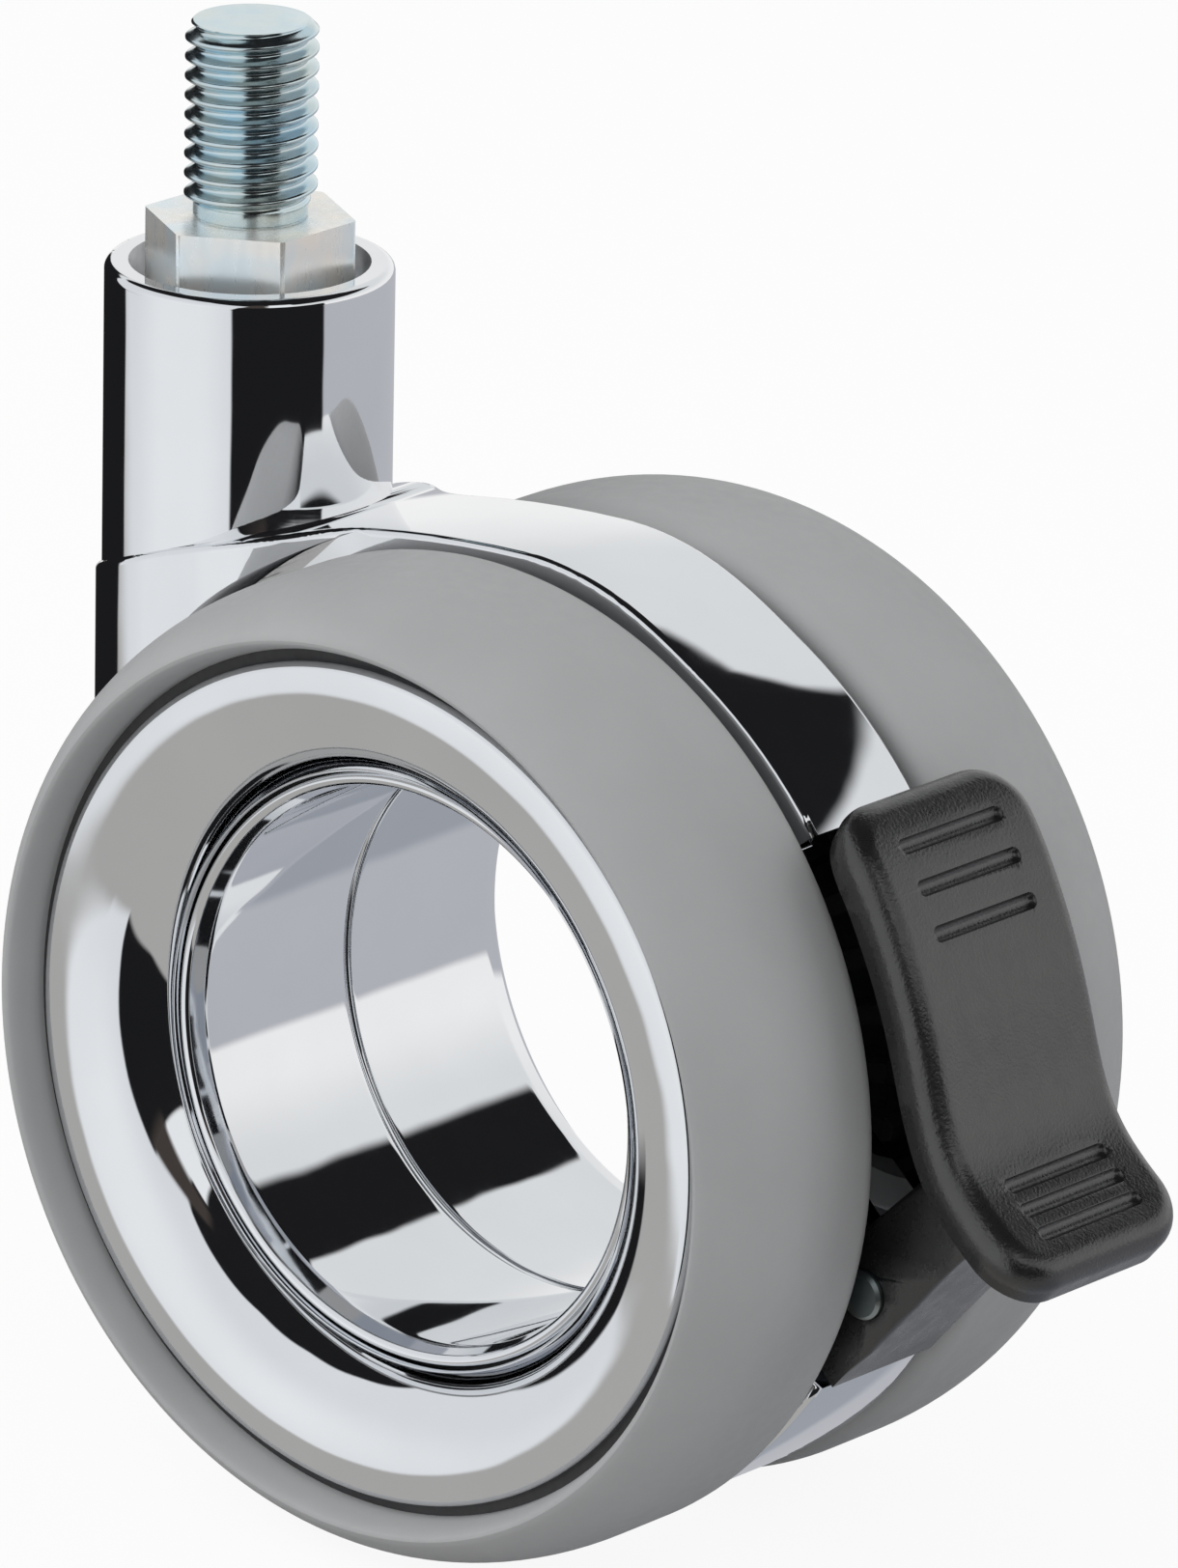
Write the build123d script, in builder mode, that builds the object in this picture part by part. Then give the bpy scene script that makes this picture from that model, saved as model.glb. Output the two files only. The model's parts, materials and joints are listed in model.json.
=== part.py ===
from build123d import *
from math import cos, radians, sin
import os

# Twin wheel castor with an open chrome hub, a threaded stem and a brake lever.
# Millimetres. The origin is on the swivel axis, at the hexagon's upper face.
# +X points from the swivel axis to the wheel axis, +Y along the wheel axis, +Z up.

os.makedirs("parts", exist_ok=True)

# Overall sizes
wheel_diameter = 75.0
seat_height = 93.0
trail = 32.0
running_clearance = 0.06
play = 0.2
quarter_turn = 90.0

# Stem
thread_diameter = 10.0
thread_length = 15.0
thread_chamfer = 1.0
hex_across_flats = 14.0
hex_height = 7.0
hex_edge_radius = 0.4
pintle_diameter = 11.0
pintle_length = 20.0
pintle_chamfer = 0.8
ring_groove_depth = 0.8
ring_width = 1.2
ring_height_above_end = 2.4
ring_section = 1.5
ring_gap = 4.0

# Swivel bearing
washer_thickness = 1.0
washer_diameter = 17.2
bush_flange = 1.0
bush_wall = 1.25
bush_end_gap = 0.25

# Housing: socket, hood and drum
socket_diameter = 21.8
socket_mouth_diameter = 18.2
socket_rim_drop = 3.6
socket_rim_radius = 0.7
socket_floor = 1.5
hood_ledge = 0.45
hood_foot_height = 8.0
hood_front_height = 26.4
hood_crown = (0.6, 37.6)
hood_sagitta = 2.5
hood_join_angle = 60.0
hood_waist = (11.4, 8.9)
hood_waist_start = 5.0
hood_rear = 18.0
hood_skin_slope = 0.2
drum_radius = 36.8
drum_half_width = 6.0
drum_wall = 4.0
drum_edge_radius = 0.6
drum_foot_angle = -160.0
web_half_width = 2.2
wheel_gap = 1.4
window_top_angle = 37.6
window_low_angle = -33.0
window_floor_radius = 27.2

# Open hub
hub_bore_radius = 21.3
hub_mouth_radius = 21.9
hub_flare_length = 1.8
sleeve_seat_radius = 23.0
sleeve_journal_radius = 23.4
sleeve_seam_chamfer = 0.35
sleeve_flange_overlap = 0.9
sleeve_flange_thickness = 1.2
sleeve_lip_radius = 22.6
sleeve_lip_height = 0.9
hub_ring_radius = 26.4
hub_ring_half_width = 6.5

# Wheels
spacer_thickness = 0.5
spacer_radius = 25.8
bearing_wall = 1.04
bearing_length = 8.0
hub_wall = 1.4
tooth_count = 36
tooth_height = 0.95
tooth_root_width = 2.6
tooth_tip_width = 1.2
tooth_length = 4.8
core_web = 1.6
core_rim_wall = 1.6
face_seat = 0.5
tread_inner = 7.2
tread_outer = 24.6
tread_inner_round = 2.0
shoulder_length = 10.0
shoulder_depth = 4.8
tread_lip_round = 0.4
face_radius = 32.1
face_groove = 0.2
face_edge = 22.4
face_hub_gap = 0.75
face_inner = 17.5
face_crest_radius = 29.7
face_crest = 22.9
face_thickness = 1.3

# Brake
pivot = (34.7, -11.55)
pivot_pin_radius = 1.9
pivot_pin_half_length = 6.2
pivot_pin_chamfer = 0.25
lug_radius = 2.7
lug_half_width = 2.3
lug_root_radius = 4.6
lug_root_angle = -10.0
lever_width = 19.6
lever_thickness = 3.5
lever_corner_radius = 4.5
lever_face_radius = 1.9
pedal_face = ((33.3, 26.65), (39.4, 19.9), (43.6, 9.6), (46.3, 2.1), (54.0, -5.0))
pedal_top_way = (0.9, -0.45)
pedal_low_way = (0.76, -0.65)
pedal_back_points = 9
arm_half_width = 5.6
arm_outer = ((37.5, -31.5), (38.5, -25.0), (40.6, -17.0), (44.4, -8.2), (48.8, -4.4))
arm_root = (43.8, 2.2)
arm_lobe = (32.6, -29.5)
boss_radius = 4.0
boss_start_angle = 110.0
boss_arc = 80.0
slot_reach = 22.0
slot_radius = 36.0
groove_radius = 0.7
groove_depth = 0.45
groove_length = 11.6
upper_grooves = (0.13, 0.215, 0.305)
lower_grooves = (0.795, 0.85, 0.905)
slide_angle = -31.0
slide_width = 5.0
slide_inner_radius = 28.2
slide_outer_radius = 32.2
slide_half_width = 5.4
rod_radius = 1.3
rod_centre_radius = 30.0
rod_half_length = 11.8
leaf_thickness = 0.3
leaf_width = 4.0
leaf_span = 4.6
leaf_gap = 0.05

# Values that follow from the sizes above
wheel_radius = wheel_diameter / 2
axle_drop = seat_height - wheel_radius
thread_radius = thread_diameter / 2
pintle_radius = pintle_diameter / 2
socket_radius = socket_diameter / 2
hood_radius = socket_radius + hood_ledge
washer_top = -hex_height - running_clearance
washer_low = washer_top - washer_thickness
bush_inner_radius = pintle_radius + running_clearance
bush_outer_radius = bush_inner_radius + bush_wall
pintle_end = -hex_height - pintle_length
groove_low = pintle_end + ring_height_above_end
groove_high = groove_low + ring_width
bush_low = groove_high + bush_end_gap
ring_inner_radius = pintle_radius - ring_groove_depth
bearing_inner_radius = sleeve_journal_radius + running_clearance
bearing_outer_radius = bearing_inner_radius + bearing_wall
core_hub_radius = bearing_outer_radius + hub_wall
sleeve_flange_radius = bearing_outer_radius + sleeve_flange_overlap
wheel_inner = hub_ring_half_width + spacer_thickness + play
bearing_end = wheel_inner + bearing_length
flange_inner = bearing_end + play
flange_outer = flange_inner + sleeve_flange_thickness
tread_lip_radius = face_radius + face_groove
core_rim_inner_radius = face_radius - face_seat
core_rim_radius = core_rim_inner_radius + core_rim_wall
core_front = face_edge - face_thickness
shoulder_start = tread_outer - shoulder_length
face_inner_radius = sleeve_lip_radius + face_hub_gap

wheel_centre = (trail, 0, -axle_drop)
wheel_axis = Axis(wheel_centre, (0, 1, 0))
# Seen from the left: local x points to the rear and local y up, from the wheel axis
side_view = Plane(origin=wheel_centre, x_dir=(1, 0, 0), z_dir=(0, -1, 0))


def axle_section(sign):
    """A plane through the wheel axis: local x runs outwards along it and local y is the radius."""
    return Plane(origin=wheel_centre, x_dir=(0, sign, 0), z_dir=(sign, 0, 0))


def polar(radius, angle):
    """A point in the side view, by its distance from the wheel axis and its angle."""
    return (radius * cos(radians(angle)), radius * sin(radians(angle)))


lug_root = polar(hub_ring_radius - lug_root_radius / 2, lug_root_angle)
# The side view turned so that local x runs along the slide's travel
slide_view = Plane(
    origin=wheel_centre,
    x_dir=(cos(radians(slide_angle)), 0, sin(radians(slide_angle))),
    z_dir=(0, -1, 0),
)
sides = {"left": -1, "right": 1}

# Stem: stud, hexagon and pintle in one piece
with BuildPart() as stem:
    with BuildSketch(Plane.XY.offset(-hex_height)):
        RegularPolygon(hex_across_flats / 2, 6, major_radius=False, rotation=30)
    extrude(amount=hex_height)
    fillet(stem.edges().filter_by(Axis.Z), hex_edge_radius)
    with BuildSketch(Plane.XZ):
        with BuildLine():
            Polyline(
                (0, pintle_end),
                (pintle_radius - pintle_chamfer, pintle_end),
                (pintle_radius, pintle_end + pintle_chamfer),
                (pintle_radius, groove_low),
                (ring_inner_radius, groove_low),
                (ring_inner_radius, groove_high),
                (pintle_radius, groove_high),
                (pintle_radius, -hex_height / 2),
                (thread_radius, -hex_height / 2),
                (thread_radius, thread_length - thread_chamfer),
                (thread_radius - thread_chamfer, thread_length),
                (0, thread_length),
                close=True,
            )
        make_face()
    revolve(axis=Axis.Z)
stem.part.label = "stem"
export_step(stem.part, "parts/stem.step")

# Retaining ring: an open ring in the pintle's groove, under the bush
with BuildPart() as retaining_ring:
    with BuildSketch(Plane.XY.offset(groove_low)):
        Circle(ring_inner_radius + ring_section)
        Circle(ring_inner_radius, mode=Mode.SUBTRACT)
        with Locations((pintle_radius, 0)):
            Rectangle(pintle_diameter, ring_gap, mode=Mode.SUBTRACT)
    extrude(amount=ring_width)
retaining_ring.part.label = "retaining_ring"
export_step(retaining_ring.part, "parts/retaining_ring.step")

# Thrust washer under the hexagon
with BuildPart() as thrust_washer:
    with BuildSketch(Plane.XY.offset(washer_low)):
        Circle(washer_diameter / 2)
        Circle(pintle_radius + running_clearance, mode=Mode.SUBTRACT)
    extrude(amount=washer_thickness)
thrust_washer.part.label = "thrust_washer"
export_step(thrust_washer.part, "parts/thrust_washer.step")

# Stem bush: a flanged sleeve pressed into the socket
with BuildPart() as stem_bush:
    with BuildSketch(Plane.XZ):
        with BuildLine():
            Polyline(
                (bush_inner_radius, washer_low),
                (washer_diameter / 2, washer_low),
                (washer_diameter / 2, washer_low - bush_flange),
                (bush_outer_radius, washer_low - bush_flange),
                (bush_outer_radius, bush_low),
                (bush_inner_radius, bush_low),
                close=True,
            )
        make_face()
    revolve(axis=Axis.Z)
stem_bush.part.label = "stem_bush"
export_step(stem_bush.part, "parts/stem_bush.step")

# Housing: a casting with the swivel socket, the hood over the wheels and the drum between them
with BuildPart() as housing:
    with BuildSketch(side_view.offset(-hood_radius)):
        with BuildLine():
            front = -trail - hood_radius - hood_ledge
            top = SagittaArc((front, hood_front_height), hood_crown, hood_sagitta)
            join = polar(drum_radius, hood_join_angle)
            join_way = (sin(radians(hood_join_angle)), -cos(radians(hood_join_angle)))
            Spline(hood_crown, join, tangents=[top % 1, join_way])
            CenterArc((0, 0), drum_radius, hood_join_angle, drum_foot_angle - hood_join_angle)
            foot = polar(drum_radius, drum_foot_angle)
            foot_way = (sin(radians(drum_foot_angle)), -cos(radians(drum_foot_angle)))
            Spline(foot, (front, hood_foot_height), tangents=[foot_way, (0, 1)])
            Line((front, hood_foot_height), (front, hood_front_height))
        make_face()
    extrude(amount=2 * hood_radius)
    with BuildSketch(Plane.XY.offset(-seat_height)):
        with BuildLine():
            for sign in sides.values():
                Line((0, sign * hood_radius), (hood_waist_start, sign * hood_radius))
                Spline(
                    (hood_waist_start, sign * hood_radius),
                    (hood_waist[0], sign * hood_waist[1]),
                    (hood_rear, sign * drum_half_width),
                    tangents=[(1, 0), (1, 0)],
                )
                Line((hood_rear, sign * drum_half_width), (trail + wheel_radius, sign * drum_half_width))
            Line((trail + wheel_radius, -drum_half_width), (trail + wheel_radius, drum_half_width))
            CenterArc((0, 0), hood_radius, quarter_turn, 2 * quarter_turn)
        make_face()
    extrude(amount=seat_height, mode=Mode.INTERSECT)
    cylinders = housing.faces().filter_by(GeomType.CYLINDER)
    drum_skin = cylinders.filter_by(lambda face: abs(face.radius - drum_radius) < play)
    hood_skin = housing.faces().filter_by(lambda face: face.normal_at().Z > hood_skin_slope)
    fillet((drum_skin + hood_skin).edges().filter_by(Axis.Y, reverse=True), drum_edge_radius)
    with BuildSketch(Plane.XY.offset(-socket_rim_drop)):
        Circle(socket_radius)
    extrude(amount=-(axle_drop - socket_rim_drop - hood_front_height))
    for sign in sides.values():
        with BuildSketch(side_view.offset(sign * drum_half_width)):
            Circle(wheel_radius + wheel_gap)
        extrude(amount=sign * hood_radius, mode=Mode.SUBTRACT)
    # Pockets beside the web, the hub ring, the lug and the open hub
    for sign in sides.values():
        with BuildSketch(side_view.offset(sign * web_half_width)):
            Circle(drum_radius - drum_wall)
        extrude(amount=sign * drum_half_width, mode=Mode.SUBTRACT)
    # The rear window for the brake
    with BuildSketch(side_view):
        with BuildLine():
            CenterArc((0, 0), window_floor_radius, window_low_angle, window_top_angle - window_low_angle)
            CenterArc((0, 0), 2 * drum_radius, window_low_angle, window_top_angle - window_low_angle)
            for angle in (window_low_angle, window_top_angle):
                Line(polar(window_floor_radius, angle), polar(2 * drum_radius, angle))
        make_face()
    extrude(amount=2 * drum_half_width, both=True, mode=Mode.SUBTRACT)
    # The guide of the brake slide
    with BuildSketch(slide_view):
        with Locations((hub_ring_radius, 0)):
            Rectangle(
                drum_radius - drum_wall - hub_ring_radius,
                slide_width + 2 * play,
                align=(Align.MIN, Align.CENTER),
            )
    extrude(amount=2 * drum_half_width, both=True, mode=Mode.SUBTRACT)
    # The hub ring and the lug of the lever
    with BuildSketch(side_view):
        Circle(hub_ring_radius)
    extrude(amount=hub_ring_half_width, both=True)
    with BuildSketch(side_view):
        with Locations(pivot):
            Circle(lug_radius)
        with Locations(lug_root):
            Circle(lug_root_radius)
        make_hull()
        with Locations(pivot):
            Circle(pivot_pin_radius, mode=Mode.SUBTRACT)
    extrude(amount=lug_half_width, both=True)
    with BuildSketch(side_view):
        Circle(sleeve_seat_radius)
    extrude(amount=2 * hub_ring_half_width, both=True, mode=Mode.SUBTRACT)
    # The socket's bores
    with BuildSketch(Plane.XY.offset(-socket_rim_drop)):
        Circle(socket_mouth_diameter / 2)
    extrude(amount=washer_low - bush_flange + socket_rim_drop, mode=Mode.SUBTRACT)
    with BuildSketch(Plane.XY):
        Circle(bush_outer_radius)
    extrude(amount=pintle_end - socket_floor, mode=Mode.SUBTRACT)
    rims = housing.edges().filter_by(GeomType.CIRCLE)
    socket_rims = rims.filter_by(lambda rim: abs(rim.radius - socket_radius) < play)
    fillet(socket_rims.sort_by(Axis.Z)[-1], socket_rim_radius)
housing.part.label = "housing"
export_step(housing.part, "parts/housing.step")

for side, sign in sides.items():
    # Axle sleeve: half of the open hub, with a flange that keeps the wheel on
    with BuildPart() as sleeve:
        with BuildSketch(axle_section(sign)):
            with BuildLine():
                lip_crest = flange_outer + sleeve_lip_height
                flare = (lip_crest - hub_flare_length, hub_bore_radius)
                mouth = (lip_crest - sleeve_lip_height / 4, hub_mouth_radius)
                Polyline(
                    (0, hub_bore_radius + sleeve_seam_chamfer),
                    (sleeve_seam_chamfer, hub_bore_radius),
                    flare,
                )
                TangentArc(flare, mouth, tangent=(1, 0))
                Spline(
                    mouth,
                    (lip_crest, (hub_mouth_radius + sleeve_lip_radius) / 2),
                    (flange_outer + sleeve_lip_height / 2, sleeve_lip_radius),
                )
                Polyline(
                    (flange_outer + sleeve_lip_height / 2, sleeve_lip_radius),
                    (flange_outer, sleeve_lip_radius),
                    (flange_outer, sleeve_flange_radius),
                    (flange_inner, sleeve_flange_radius),
                    (flange_inner, sleeve_journal_radius),
                    (hub_ring_half_width, sleeve_journal_radius),
                    (hub_ring_half_width, sleeve_seat_radius),
                    (0, sleeve_seat_radius),
                    (0, hub_bore_radius + sleeve_seam_chamfer),
                )
            make_face()
        revolve(axis=wheel_axis)
    sleeve.part.label = f"{side}_axle_sleeve"
    export_step(sleeve.part, f"parts/{side}_axle_sleeve.step")

    # Spacer washer between the housing and the wheel
    with BuildPart() as spacer:
        with BuildSketch(side_view.offset(-sign * hub_ring_half_width)):
            Circle(spacer_radius)
            Circle(sleeve_journal_radius, mode=Mode.SUBTRACT)
        extrude(amount=-sign * spacer_thickness)
    spacer.part.label = f"{side}_spacer_washer"
    export_step(spacer.part, f"parts/{side}_spacer_washer.step")

    # Bearing ring: a plain bearing pressed into the wheel
    with BuildPart() as bearing:
        with BuildSketch(side_view.offset(-sign * wheel_inner)):
            Circle(bearing_outer_radius)
            Circle(bearing_inner_radius, mode=Mode.SUBTRACT)
        extrude(amount=-sign * bearing_length)
    bearing.part.label = f"{side}_bearing_ring"
    export_step(bearing.part, f"parts/{side}_bearing_ring.step")

    # Wheel core: hub with locking teeth, web and rim
    with BuildPart() as core:
        with BuildSketch(axle_section(sign)):
            with BuildLine():
                Polyline(
                    (wheel_inner, bearing_outer_radius),
                    (bearing_end, bearing_outer_radius),
                    (bearing_end, sleeve_flange_radius + 2 * play),
                    (core_front, core_rim_inner_radius),
                    (core_front, core_rim_radius),
                    (tread_inner, core_rim_radius),
                    (tread_inner, core_rim_inner_radius),
                    (core_front - 2 * core_web, core_rim_inner_radius),
                    (bearing_end - core_web, core_hub_radius),
                    (wheel_inner, core_hub_radius),
                    close=True,
                )
            make_face()
        revolve(axis=wheel_axis)
        with BuildSketch(side_view.offset(-sign * wheel_inner)):
            with PolarLocations(core_hub_radius, tooth_count):
                Polygon(
                    (-hub_wall / 2, -tooth_root_width / 2),
                    (tooth_height, -tooth_tip_width / 2),
                    (tooth_height, tooth_tip_width / 2),
                    (-hub_wall / 2, tooth_root_width / 2),
                    align=None,
                )
        extrude(amount=-sign * tooth_length)
    core.part.label = f"{side}_wheel_core"
    export_step(core.part, f"parts/{side}_wheel_core.step")

    # Tread with a large outer shoulder and a lip that closes on the face ring
    with BuildPart() as tread:
        with BuildSketch(axle_section(sign)):
            with BuildLine():
                Line((tread_inner, core_rim_radius), (tread_inner, wheel_radius - tread_inner_round))
                RadiusArc(
                    (tread_inner, wheel_radius - tread_inner_round),
                    (tread_inner + tread_inner_round, wheel_radius),
                    tread_inner_round,
                )
                Line((tread_inner + tread_inner_round, wheel_radius), (shoulder_start, wheel_radius))
                EllipticalCenterArc(
                    (shoulder_start, wheel_radius - shoulder_depth),
                    shoulder_length,
                    shoulder_depth,
                    start_angle=0,
                    arc_size=quarter_turn,
                )
                lip_top = (tread_outer, wheel_radius - shoulder_depth)
                lip_low = (tread_outer - tread_lip_round, tread_lip_radius)
                Spline(lip_top, lip_low, tangents=[(0, -1), (-1, 0)])
                Polyline(
                    lip_low,
                    (core_front, tread_lip_radius),
                    (core_front, core_rim_radius),
                    (tread_inner, core_rim_radius),
                )
            make_face()
        revolve(axis=wheel_axis)
    tread.part.label = f"{side}_tread"
    export_step(tread.part, f"parts/{side}_tread.step")

    # Face ring: chrome trim that rounds off from a crest into the open hub
    with BuildPart() as face:
        with BuildSketch(axle_section(sign)):
            with BuildLine():
                crest = (face_crest, face_crest_radius)
                TangentArc(crest, (face_edge, face_radius), tangent=(0, 1))
                TangentArc(crest, (face_inner, face_inner_radius), tangent=(0, -1))
                Polyline(
                    (face_inner, face_inner_radius),
                    (face_inner - face_thickness / 2, face_inner_radius),
                    (core_front, core_rim_inner_radius),
                    (core_front, face_radius),
                    (face_edge, face_radius),
                )
            make_face()
        revolve(axis=wheel_axis)
    face.part.label = f"{side}_face_ring"
    export_step(face.part, f"parts/{side}_face_ring.step")

# Brake lever: a waved pedal with grip grooves, and an arm that forks over the housing's lug
with BuildPart() as brake_lever:
    with BuildSketch(side_view.offset(-lever_width / 2)):
        with BuildLine():
            face_curve = Spline(*pedal_face, tangents=[pedal_top_way, pedal_low_way])
            back_points = []
            for step in range(pedal_back_points):
                share = step / (pedal_back_points - 1)
                point = face_curve @ share
                way = face_curve % share
                back_points.append((point.X + way.Y * lever_thickness, point.Y - way.X * lever_thickness))
            back_curve = Spline(*back_points)
            Line(face_curve @ 0, back_curve @ 0)
            Line(face_curve @ 1, back_curve @ 1)
        make_face()
    extrude(amount=lever_width)
    corners = brake_lever.edges().filter_by(GeomType.LINE).filter_by(Axis.Y, reverse=True)
    fillet(corners, lever_corner_radius)
    broad_faces = brake_lever.faces().filter_by(Axis.Y, reverse=True).sort_by(SortBy.AREA)[-2:]
    fillet(broad_faces.sort_by(Axis.X)[-1].edges(), lever_face_radius)
    # Grip grooves with rounded ends
    for share in upper_grooves + lower_grooves:
        point = face_curve @ share
        way = face_curve % share
        rise = groove_radius - groove_depth
        centre = (point.X - way.Y * rise, point.Y + way.X * rise)
        with BuildSketch(side_view):
            with Locations(centre):
                Circle(groove_radius)
        extrude(amount=groove_length / 2 - groove_radius, both=True, mode=Mode.SUBTRACT)
        with Locations(side_view):
            for sign in sides.values():
                with Locations((centre[0], centre[1], sign * (groove_length / 2 - groove_radius))):
                    Sphere(groove_radius, mode=Mode.SUBTRACT)
    # The arm, its bore and the slot for the lug
    with BuildSketch(side_view):
        with BuildLine():
            arm_skin = Spline(*[polar(radius, angle) for radius, angle in arm_outer])
            boss = CenterArc(pivot, boss_radius, boss_start_angle, boss_arc)
            Polyline(arm_skin @ 1, arm_root, boss @ 0)
            Polyline(boss @ 1, polar(*arm_lobe), arm_skin @ 0)
        make_face()
    extrude(amount=arm_half_width, both=True)
    with BuildSketch(side_view):
        with Locations(pivot):
            Rectangle(slot_reach, slot_reach, align=(Align.MAX, Align.CENTER))
        Circle(slot_radius, mode=Mode.INTERSECT)
    extrude(amount=lug_half_width + play, both=True, mode=Mode.SUBTRACT)
    with BuildSketch(side_view):
        with Locations(pivot):
            Circle(lug_radius + 2 * play)
        with Locations(lug_root):
            Circle(lug_root_radius + 2 * play)
        make_hull()
    extrude(amount=lug_half_width + play, both=True, mode=Mode.SUBTRACT)
    with BuildSketch(side_view):
        with Locations(pivot):
            Circle(pivot_pin_radius + running_clearance)
    extrude(amount=lever_width, both=True, mode=Mode.SUBTRACT)
brake_lever.part.label = "brake_lever"
export_step(brake_lever.part, "parts/brake_lever.step")

# Lever pin, held in the lug
with BuildPart() as lever_pin:
    with BuildSketch(side_view):
        with Locations(pivot):
            Circle(pivot_pin_radius)
    extrude(amount=pivot_pin_half_length, both=True)
    chamfer(lever_pin.edges().filter_by(GeomType.CIRCLE), pivot_pin_chamfer)
lever_pin.part.label = "lever_pin"
export_step(lever_pin.part, "parts/lever_pin.step")

# Brake slide: a block that runs in the housing's guide and carries the rod
with BuildPart() as brake_slide:
    with BuildSketch(slide_view):
        with Locations((slide_inner_radius, 0)):
            Rectangle(slide_outer_radius - slide_inner_radius, slide_width, align=(Align.MIN, Align.CENTER))
        with Locations((rod_centre_radius, 0)):
            Circle(rod_radius, mode=Mode.SUBTRACT)
    extrude(amount=slide_half_width, both=True)
brake_slide.part.label = "brake_slide"
export_step(brake_slide.part, "parts/brake_slide.step")

# Locking rod across both wheels
with BuildPart() as locking_rod:
    with BuildSketch(slide_view):
        with Locations((rod_centre_radius, 0)):
            Circle(rod_radius)
    extrude(amount=rod_half_length, both=True)
locking_rod.part.label = "locking_rod"
export_step(locking_rod.part, "parts/locking_rod.step")

# Return leaf: a bowed spring strip between the hub ring and the slide
with BuildPart() as return_leaf:
    with BuildSketch(slide_view):
        with BuildLine():
            leaf_low = hub_ring_radius + leaf_gap
            leaf_high = slide_inner_radius - leaf_gap
            outer_bow = ThreePointArc((leaf_low, -leaf_span / 2), (leaf_high, 0), (leaf_low, leaf_span / 2))
            inner_bow = ThreePointArc(
                (leaf_low, -leaf_span / 2 + leaf_thickness),
                (leaf_high - leaf_thickness, 0),
                (leaf_low, leaf_span / 2 - leaf_thickness),
            )
            Line(outer_bow @ 0, inner_bow @ 0)
            Line(outer_bow @ 1, inner_bow @ 1)
        make_face()
    extrude(amount=leaf_width / 2, both=True)
return_leaf.part.label = "return_leaf"
export_step(return_leaf.part, "parts/return_leaf.step")
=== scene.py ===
"""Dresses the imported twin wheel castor.

It turns the treads, rings and sleeves, cuts the thread, and adds finishes, a studio and the camera.
"""

import json
from functools import partial
from math import atan2, cos, hypot, pi, radians, sin

import bmesh
import bpy
import numpy as np
from mathutils import Matrix, Vector


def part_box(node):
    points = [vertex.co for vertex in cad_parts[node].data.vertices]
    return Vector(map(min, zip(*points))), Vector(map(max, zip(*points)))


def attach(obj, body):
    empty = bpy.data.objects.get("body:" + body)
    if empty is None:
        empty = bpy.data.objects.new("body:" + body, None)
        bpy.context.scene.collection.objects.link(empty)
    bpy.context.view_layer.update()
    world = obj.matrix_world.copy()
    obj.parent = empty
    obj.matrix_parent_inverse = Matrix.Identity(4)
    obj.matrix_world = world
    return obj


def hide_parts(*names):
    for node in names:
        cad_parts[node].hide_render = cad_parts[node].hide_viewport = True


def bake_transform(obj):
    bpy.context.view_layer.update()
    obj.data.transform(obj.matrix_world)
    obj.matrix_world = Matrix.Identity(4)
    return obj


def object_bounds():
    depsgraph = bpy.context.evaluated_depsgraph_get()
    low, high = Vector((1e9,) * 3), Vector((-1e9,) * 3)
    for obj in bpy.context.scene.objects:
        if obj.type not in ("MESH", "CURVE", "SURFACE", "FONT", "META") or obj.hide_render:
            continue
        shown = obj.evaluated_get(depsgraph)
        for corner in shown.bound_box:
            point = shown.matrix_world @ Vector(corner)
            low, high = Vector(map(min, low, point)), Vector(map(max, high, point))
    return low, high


bl_info = {
    "name": "Twin Wheel Castor",
    "version": (1, 0, 0),
    "blender": (4, 5, 0),
    "location": "View3D > Sidebar > Castor",
    "description": "Builds the visible pieces and finishes of a twin wheel castor around its CAD frame",
    "category": "Object",
}

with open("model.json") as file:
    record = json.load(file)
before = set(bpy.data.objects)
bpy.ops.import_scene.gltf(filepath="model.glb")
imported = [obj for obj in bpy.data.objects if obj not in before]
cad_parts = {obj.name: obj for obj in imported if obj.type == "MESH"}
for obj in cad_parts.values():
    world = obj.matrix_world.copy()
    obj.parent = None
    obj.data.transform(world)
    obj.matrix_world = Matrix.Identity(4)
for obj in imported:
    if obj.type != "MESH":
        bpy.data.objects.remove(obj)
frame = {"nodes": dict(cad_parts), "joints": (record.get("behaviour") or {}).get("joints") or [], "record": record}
cad_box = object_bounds()

MM = 0.001
# Points closer than this are one point
weld = 0.001 * MM
joints = {joint["name"]: joint for joint in frame["joints"]}
wheel_centre = Vector(joints["left_wheel_spin"]["pos_m"])
stud = next(mount for mount in frame["record"]["mounts"] if mount["name"] == "stud")
stud_radius = stud["dims"]["r_mm"] * MM
stem_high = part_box("stem")[1]
# The solid's stud is cut off just above the hexagon's upper face, which lies inside this skin
seat_cut, seat_skin = 0.01 * MM, 0.02 * MM
sides = {"left": -1, "right": 1}


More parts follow.
